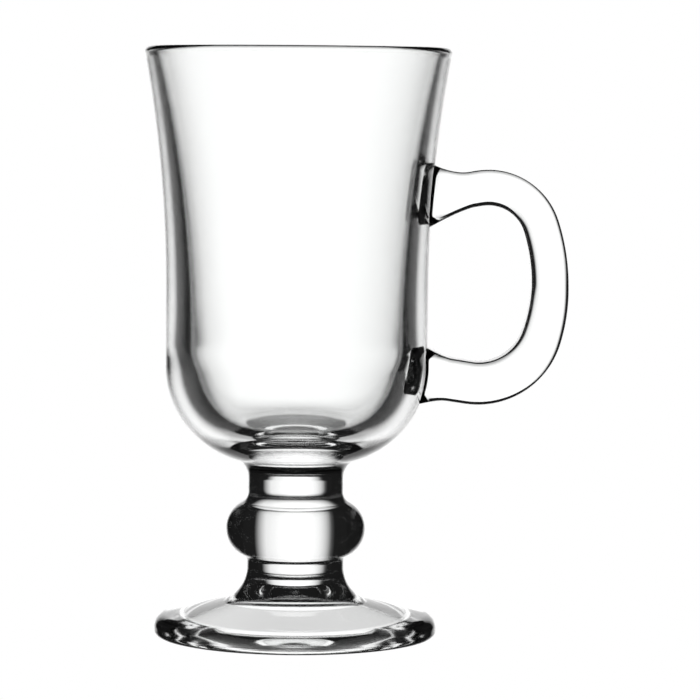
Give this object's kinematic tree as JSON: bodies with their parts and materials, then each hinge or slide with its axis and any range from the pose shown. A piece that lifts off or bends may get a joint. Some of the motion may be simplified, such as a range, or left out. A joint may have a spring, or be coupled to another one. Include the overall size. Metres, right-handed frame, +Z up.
{
  "type": "irish coffee mug",
  "caption": "Clear pressed-glass coffee mug with a flared bowl and thick floor on a short knopped stem, a sloping round foot and a closed strap handle for the fingers.",
  "frame": {"origin": "centre of the flat ring under the foot, on the bowl's axis", "axes": "+Z up along the bowl's axis, +X towards the handle"},
  "size_m": [0.1048, 0.0756, 0.1458],
  "materials": {
    "clear_glass": "clear pressed soda-lime glass, fire-polished"
  },
  "bodies": {
    "root": {"bowl": "clear_glass", "handle": "clear_glass", "stem_neck": "clear_glass", "stem_knop": "clear_glass", "stem_base": "clear_glass", "foot": "clear_glass"}
  },
  "joints": []
}
